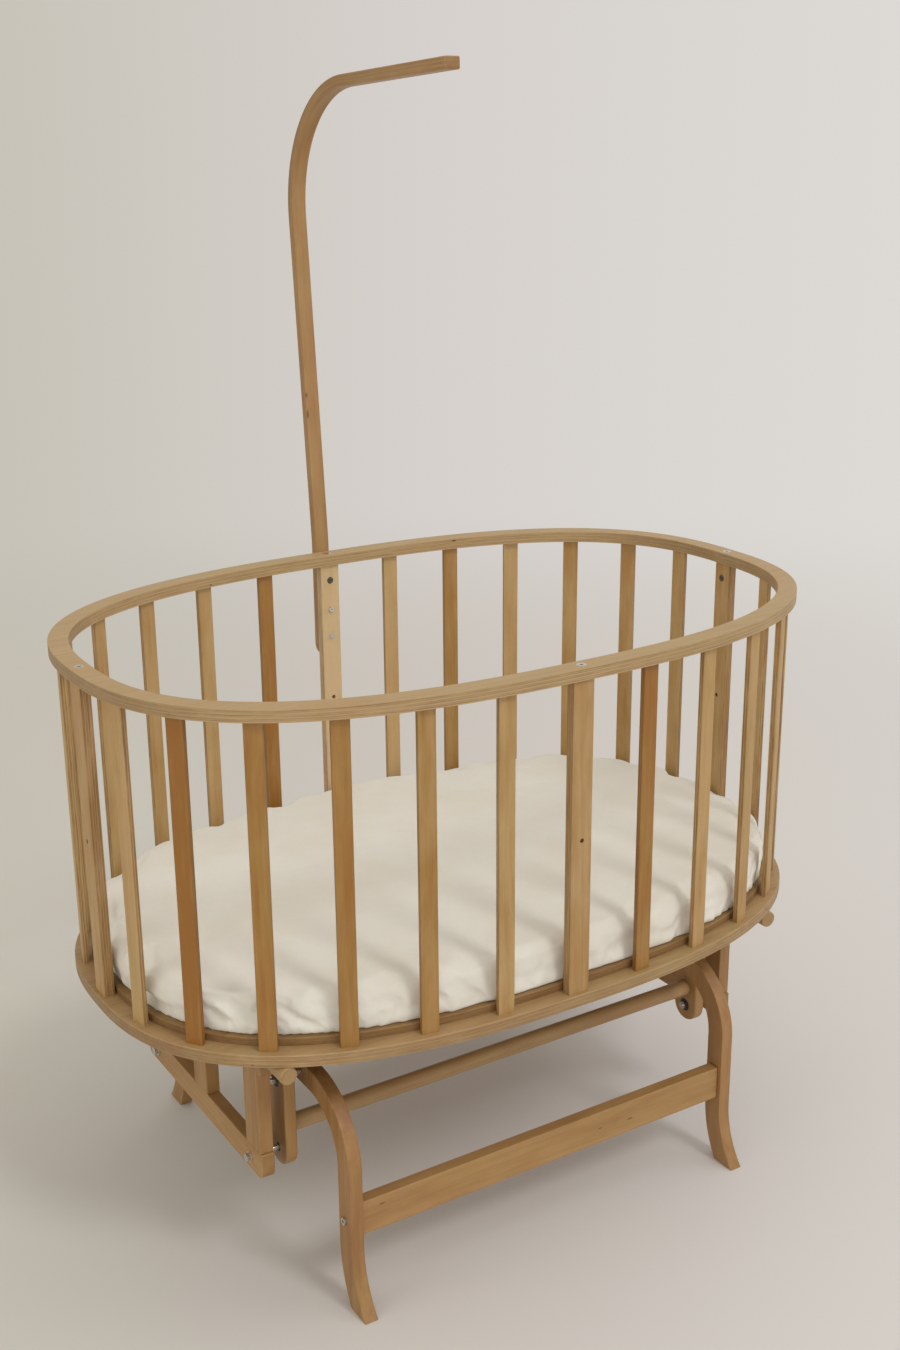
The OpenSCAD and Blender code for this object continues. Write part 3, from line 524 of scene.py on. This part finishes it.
def addSolidPieces():
    knotty = woodMaterial("solid", stretcherKnots, "stretcherWood")
    for seed, (stem, spec) in enumerate(sorted(solidPieces.items())):
        for k, side in enumerate(spec["pair"]):
            node = side + "_" + stem
            bm = merged(node)
            eased(bm, spec["edge"], spec.get("shortest", meshing["shortestEased"]))
            wood = knotty if node == "front_stretcher" else woods[spec.get("wood", "solid")]
            obj = finished(camelName(node), bm, wood, [node])
            across = zAxis if spec["along"] is yAxis else yAxis
            markGrain(obj, spec["along"], across, spec["along"].cross(across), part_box(node)[0],
                      spec["tone"], solidSeed + 2 * seed + k)


addSolidPieces()
print("frames, links and stand made")

# The canopy bar is veneer strips bent together. It runs up from its foot, leans back, bends
# and ends in its arm.
canopyBar = {
    "width": 21, "thick": 15, "edge": 2.0, "edgeSegments": 4, "tone": 0.1, "seed": 77,
    "foot": 150, "footRound": 12, "footSegments": 7, "lean": 4.5, "leanRadius": 400, "upper": 442,
    "bendRadius": 162, "rise": 3, "arm": 257, "straightStep": 34, "bendStep": 3, "fewestSteps": 4,
    "knots": (((-9.2, 315, 1019), (2.2, 3, 5)), ((-9.2, 313, 992), (2.2, 3, 9))),
}


def straightBar(walk, length):
    count = max(1, round(length / canopyBar["straightStep"]))
    for _ in range(count):
        pushBar(walk, length * mm / count, 0)


def bentBar(walk, radius, turn):  # turn in degrees, positive leans back
    count = max(canopyBar["fewestSteps"], round(abs(turn) / canopyBar["bendStep"]))
    step = math.radians(turn) / count
    for _ in range(count):
        pushBar(walk, 2 * radius * mm * math.sin(abs(step) / 2), step)


def pushBar(walk, length, turn):
    bm = walk["bm"]
    made = bmesh.ops.extrude_face_region(bm, geom=[walk["tip"]])["geom"]
    if walk["stations"][1:]:
        bmesh.ops.delete(bm, geom=[walk["tip"]], context="FACES_ONLY")
    place, angle, run = walk["stations"][-1]
    middle = angle + turn / 2
    shift = Vector((0, math.sin(middle), math.cos(middle))) * length
    corners = [g for g in made if isinstance(g, bmesh.types.BMVert)]
    bmesh.ops.translate(bm, verts=corners, vec=shift)
    bmesh.ops.rotate(bm, verts=corners, cent=place + shift, matrix=Matrix.Rotation(-turn, 3, "X"))
    walk["tip"] = next(g for g in made if isinstance(g, bmesh.types.BMFace))
    walk["stations"].append((place + shift, angle + turn, run + length))


def markBar(obj, stations):
    def ways(place):  # nearest point of the walk, and the directions there
        at, angle, run = min(stations, key=lambda s: (s[0] - place).length_squared)
        ahead = Vector((0, math.sin(angle), math.cos(angle)))
        return at, run, ahead, Vector((0, ahead.z, -ahead.y))

    places, cuts = [], []
    for v in obj.data.vertices:
        at, run, ahead, back = ways(v.co)
        away = v.co - at
        places.append((run + away.dot(ahead), away.x, away.dot(back) + canopyBar["thick"] / 2 * mm))
    for face in obj.data.polygons:
        at, run, ahead, back = ways(face.center)
        cuts.append((face.normal.dot(ahead), face.normal.x, face.normal.dot(back)))
    writeGrain(obj, places, cuts, canopyBar["tone"], canopyBar["seed"])


def addCanopyBar():
    spec = canopyBar
    halfW, halfT = spec["width"] / 2 * mm, spec["thick"] / 2 * mm
    start = Vector((0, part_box("top_rim")[1].y + halfT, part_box("canopy_bar")[0].z))  # flush against the rim
    bm = bmesh.new()
    section = ((-halfW, -halfT), (halfW, -halfT), (halfW, halfT), (-halfW, halfT))
    corners = [bm.verts.new(start + Vector((x, y, 0))) for x, y in section]
    walk = {"bm": bm, "tip": bm.faces.new(corners), "stations": [(start, 0.0, 0.0)]}
    straightBar(walk, spec["foot"])
    bentBar(walk, spec["leanRadius"], spec["lean"])
    straightBar(walk, spec["upper"])
    bentBar(walk, spec["bendRadius"], -(90 + spec["lean"] - spec["rise"]))
    straightBar(walk, spec["arm"])
    bmesh.ops.recalc_face_normals(bm, faces=bm.faces)
    heel = start.y + halfT - 0.1 * mm
    foot = [e for e in bm.edges if all(v.co.z < start.z + 0.1 * mm and v.co.y > heel for v in e.verts)]
    roundEdges(bm, foot, spec["footRound"], spec["footSegments"])
    sharp = [e for e in bm.edges if e.calc_face_angle() > math.radians(60)]
    roundEdges(bm, sharp, spec["edge"], spec["edgeSegments"])
    wood = woodMaterial("laminate", spec["knots"], "barWood")
    markBar(finished("canopyBar", bm, wood, ["canopy_bar"]), walk["stations"])


addCanopyBar()
print("canopy bar made")

# Each with its metal or seal, and the slot that takes the finish
hardware = {
    "rim_screws": ("zinc", "zinc"), "canopy_screws": ("zinc", "zinc"), "hanger_screws": ("zinc", "zinc"),
    "barrel_nuts": ("darkSteel", "zinc"), "lower_pivot_bolts": ("zinc", "zinc"),
    "upper_pivot_bolts": ("zinc", "zinc"), "stretcher_bolts": ("zinc", "zinc"),
    "front_link_bearings": ("seal", "bearing"), "rear_link_bearings": ("seal", "bearing"),
}
hardwareEdge = {"round": 0.25, "shortest": 0.2, "segments": 2}


def addHardware():
    for node, (metal, slot) in hardware.items():
        bm = merged(node)
        eased(bm, hardwareEdge["round"], hardwareEdge["shortest"], hardwareEdge["segments"])
        finished(camelName(node), bm, metals[metal], [node])


addHardware()
print("screws, bolts and bearings made")

# The mattress swells under its fitted sheet in a cloth simulation. Folds and gathers come after it.
# Sizes are in mm.
mattress = {
    "voxel": 5.5, "fuller": (-2.5, 2.5, 0), "round": 14, "heel": 5, "bulge": 0.9, "held": 3, "postGap": 5,
    "cap": 6, "frames": 20, "pressure": 3, "growth": 0.06, "bending": 0.3,
    "waveSize": 150, "waveDepth": 2.4, "steepness": 1.3,
    "foldSize": 70, "foldSquash": 1.6, "foldSharpness": 5, "foldDepth": 2.0, "foldOnTop": 0.35,
    "creaseHeight": 18, "creaseWidth": 5, "creaseDepth": 3.0, "wanderSize": 90, "wanderDepth": 5,
    "gatherSize": 15, "gatherSquash": 0.3, "gatherHeight": 18, "gatherDepth": 6.8,
    "light": (231, 228, 218), "shade": (225, 220, 208), "thread": (209, 203, 189),
    "rough": 0.85, "sheen": 0.2, "sheenRough": 0.5, "relief": 0.15, "reliefStrength": 0.2,
    "cloudScale": 7, "acrossThread": 1400, "alongThread": 60, "threadShown": 0.2,
}


def sheetMaterial():
    spec = mattress
    mat, tree, bsdf = newMaterial("cottonSheet")
    place = addNode(tree, "TexCoord").outputs["Object"]
    cloud = noiseOf(tree, place, scale=spec["cloudScale"], detail=3)
    along, across = spec["alongThread"], spec["acrossThread"]
    warp = noiseOf(tree, stretched(tree, place, along, across, across), detail=2)
    weft = noiseOf(tree, stretched(tree, place, across, along, across), detail=2)
    weave = calc(tree, "ADD", warp, weft)
    light, shade, thread = (srgb(*spec[key]) for key in ("light", "shade", "thread"))
    colour = blended(tree, ranged(tree, cloud, 0.3, 0.7), light, shade)
    threads = ranged(tree, weave, 0.8, 1.3, 0, spec["threadShown"])
    plug(tree, bsdf.inputs["Base Color"], blended(tree, threads, colour, thread))
    bsdf.inputs["Roughness"].default_value = spec["rough"]
    bsdf.inputs["Sheen Weight"].default_value = spec["sheen"]
    bsdf.inputs["Sheen Roughness"].default_value = spec["sheenRough"]
    plug(tree, bsdf.inputs["Normal"], bumped(tree, weave, spec["reliefStrength"], spec["relief"] * mm))
    return mat


def belly(height, radius):  # how far a rounded edge of this radius draws in at a height
    if height >= radius:
        return 0
    return radius * (1 - math.cos(math.asin(height / radius - 1)) ** mattress["bulge"])


def evenMesh(node, size, floorZ):  # the CAD shape in small even quads, its lower edge filled out over the board
    bm = merged(node)
    bm.normal_update()
    for v in bm.verts:
        height = max(0, v.co.z - floorZ) / mm
        side = Vector((v.normal.x, v.normal.y, 0))
        if side.length > 0.01:
            filled = belly(height, mattress["round"]) - belly(height, mattress["heel"])
            v.co += side.normalized() * filled * mm
    mesh = bpy.data.meshes.new("rough")
    bm.to_mesh(mesh)
    bm.free()
    rough = bpy.data.objects.new("rough", mesh)
    scene.collection.objects.link(rough)
    remesh = rough.modifiers.new("even", "REMESH")
    remesh.mode = "VOXEL"
    remesh.voxel_size = size * mm
    even = bpy.data.meshes.new_from_object(rough.evaluated_get(bpy.context.evaluated_depsgraph_get()))
    bpy.data.objects.remove(rough)
    return even


def swell(obj, floorZ):
    spec = mattress
    start = [v.co.copy() for v in obj.data.vertices]
    held = obj.vertex_groups.new(name="onBoard")
    held.add([i for i, p in enumerate(start) if p.z < floorZ + spec["held"] * mm], 1.0, "REPLACE")
    cloth = obj.modifiers.new("swell", "CLOTH")
    settings = cloth.settings
    settings.vertex_group_mass = held.name
    settings.use_pressure = True
    settings.uniform_pressure_force = spec["pressure"]
    settings.shrink_min = -spec["growth"]
    settings.bending_stiffness = spec["bending"]
    settings.effector_weights.gravity = 0
    for number in range(1, spec["frames"] + 1):
        scene.frame_set(number)
    swollen = obj.evaluated_get(bpy.context.evaluated_depsgraph_get()).data
    for v, old in zip(obj.data.vertices, start):
        move = swollen.vertices[v.index].co - old
        v.co = old + move * min(1, spec["cap"] * mm / max(move.length, 1e-9))
    obj.modifiers.remove(cloth)
    scene.frame_set(1)


def ridge(place):  # 1 along thin wandering lines, near 0 elsewhere
    spec = mattress
    spot = Vector((place.x + place.z, place.y - place.z, place.z * spec["foldSquash"]))
    return max(0, 1 - abs(noise.noise(spot / (spec["foldSize"] * mm))) * spec["foldSharpness"]) ** 2


def drape(mesh, floorZ):
    spec = mattress
    normals = [v.normal.copy() for v in mesh.vertices]
    for v, out in zip(mesh.vertices, normals):
        height = (v.co.z - floorZ) / mm
        upright = 1 - min(1, abs(out.z) * spec["steepness"])  # 1 on the sides, 0 on top and below
        onTop = max(0, out.z) ** 2
        wave = noise.noise(v.co / (spec["waveSize"] * mm)) * spec["waveDepth"]
        fold = ridge(v.co) * spec["foldDepth"]
        wander = noise.noise(v.co / (spec["wanderSize"] * mm)) * spec["wanderDepth"]
        crease = math.exp(-((height - spec["creaseHeight"] - wander) / spec["creaseWidth"]) ** 2)
        pleat = Vector((v.co.x, v.co.y, v.co.z * spec["gatherSquash"])) / (spec["gatherSize"] * mm)
        low = max(0, 1 - height / spec["gatherHeight"])
        move = onTop * wave - (spec["foldOnTop"] * onTop + upright) * fold
        move -= upright * crease * spec["creaseDepth"]
        move += upright * noise.noise(pleat) * low * spec["gatherDepth"]
        v.co += out * move * mm
        v.co.z = max(v.co.z, floorZ)
    mesh.update()


def keepClear(mesh):  # the sheet gives way in front of the four posts
    gap = mattress["postGap"] * mm
    for node in uprights["posts"]:
        post = cadNodes[node].data
        faces = [tuple(face.vertices) for face in post.polygons]
        wall = BVHTree.FromPolygons([v.co for v in post.vertices], faces)
        for v in mesh.vertices:
            place, facing, _, _ = wall.find_nearest(v.co, gap * 2)
            if place is None:
                continue
            room = (v.co - place).dot(facing)
            if room < gap:
                v.co += Vector((facing.x, facing.y, 0)) * (gap - room) ** 2 / (gap * 2)
    mesh.update()


def addMattress():
    spec = mattress
    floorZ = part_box("mattress")[0].z
    mesh = evenMesh("mattress", spec["voxel"], floorZ)
    normals = [v.normal.copy() for v in mesh.vertices]
    for v, out in zip(mesh.vertices, normals):
        onBoard = v.co.z < floorZ + spec["held"] * mm
        v.co += Vector(a * b for a, b in zip(out, spec["fuller"])) * mm
        v.co.z = floorZ if onBoard else v.co.z
    mesh.update()
    bm = bmesh.new()
    bm.from_mesh(mesh)
    obj = finished("mattressCover", bm, sheetMaterial(), ["mattress"], sharpAngle=180)
    swell(obj, floorZ)
    drape(obj.data, floorZ)
    keepClear(obj.data)
    soft = obj.modifiers.new("soft", "SUBSURF")
    soft.levels = soft.render_levels = 1


addMattress()
print("mattress made")

studio = {
    "floorSize": 60, "floorSides": 96, "fadeFrom": 1.5, "fadeTo": 4.2,
    "toRight": (0.8503, -0.5263, 0), "spread": 2.1, "sideways": 0.3, "rough": 0.9, "specular": 0.2,
    "shades": (
        (0.0, (197, 192, 180)), (0.25, (206, 201, 193)), (0.5, (214, 209, 205)), (1.0, (222, 219, 214))),
    # painted shade: the floor's own colour is darker to the left and lighter to the right, as the light falls
    "floorPaintedShades": (
        (0.0, (208, 205, 195)), (0.25, (211, 208, 202)), (0.5, (216, 211, 207)), (1.0, (222, 220, 218))),
    "lampsAimAt": (0, 0, 0.4),
    "lamps": {
        "keyLight": {"place": (2.0, -8.4, 9.75), "power": 350, "size": 3.0},
        "topLight": {"place": (0, 0.6, 5.0), "power": 6, "size": 5.0},
        "frontFill": {"place": (-2.8, -4.6, 1.8), "power": 32, "size": 4.0},
        "leftFill": {"place": (-5.2, 0.0, 2.2), "power": 46, "size": 4.0},
        "rightFill": {"place": (3.2, -1.2, 4.6), "power": 20, "size": 4.0},
    },
}


def wallShade(tree, place, reach, shades):  # walls and floor grow lighter from left to right; in the floor's colour this is painted light and shade
    sideways = addNode(tree, "VectorMath", place, studio["toRight"], operation="DOT_PRODUCT").outputs["Value"]
    side = calc(tree, "DIVIDE", sideways, reach)
    factor = addNode(tree, "MapRange", side, -studio["sideways"], studio["sideways"]).outputs[0]
    return ramped(tree, factor, [(at, srgb(*shade)) for at, shade in shades])


def addLamp(name, place, power, size):
    lamp = bpy.data.lights.new(name, "AREA")
    lamp.shape = "DISK"
    lamp.size = size
    lamp.energy = power
    obj = bpy.data.objects.new(name, lamp)
    obj.location = place
    obj.rotation_euler = (Vector(studio["lampsAimAt"]) - obj.location).to_track_quat("-Z", "Y").to_euler()
    scene.collection.objects.link(obj)


def addStudio():
    bm = bmesh.new()
    bmesh.ops.create_circle(bm, cap_ends=True, segments=studio["floorSides"], radius=studio["floorSize"])
    mesh = bpy.data.meshes.new("studioFloor")
    bm.to_mesh(mesh)
    bm.free()
    floor = bpy.data.objects.new("studioFloor", mesh)
    scene.collection.objects.link(floor)
    mat, tree, bsdf = newMaterial("studioFloor")
    place = addNode(tree, "TexCoord").outputs["Object"]
    far = addNode(tree, "VectorMath", place, operation="LENGTH").outputs["Value"]
    reach = calc(tree, "ADD", far, studio["spread"])
    # painted shade: the floor's colour darkens to the left, where the light falls off
    plug(tree, bsdf.inputs["Base Color"], wallShade(tree, place, reach, studio["floorPaintedShades"]))
    bsdf.inputs["Roughness"].default_value = studio["rough"]
    bsdf.inputs["Specular IOR Level"].default_value = studio["specular"]
    # painted light: past fadeFrom the floor glows in the walls' shades, darker to the left, so that it merges
    # into the backdrop
    glow = addNode(tree, "Emission", wallShade(tree, place, reach, studio["shades"]), 1.0)
    mixed = addNode(tree, "MixShader", ranged(tree, far, studio["fadeFrom"], studio["fadeTo"]),
                    bsdf.outputs[0], glow.outputs[0])
    tree.links.new(mixed.outputs[0], tree.nodes["Material Output"].inputs["Surface"])
    mesh.materials.append(mat)
    world = bpy.data.worlds.new("studioWalls")
    scene.world = world
    world.use_nodes = True
    sky = world.node_tree
    shade = wallShade(sky, addNode(sky, "TexCoord").outputs["Generated"], 1.0, studio["shades"])
    plug(sky, sky.nodes["Background"].inputs["Color"], shade)
    for name, spec in studio["lamps"].items():
        addLamp(name, spec["place"], spec["power"], spec["size"])


addStudio()
print("studio made")
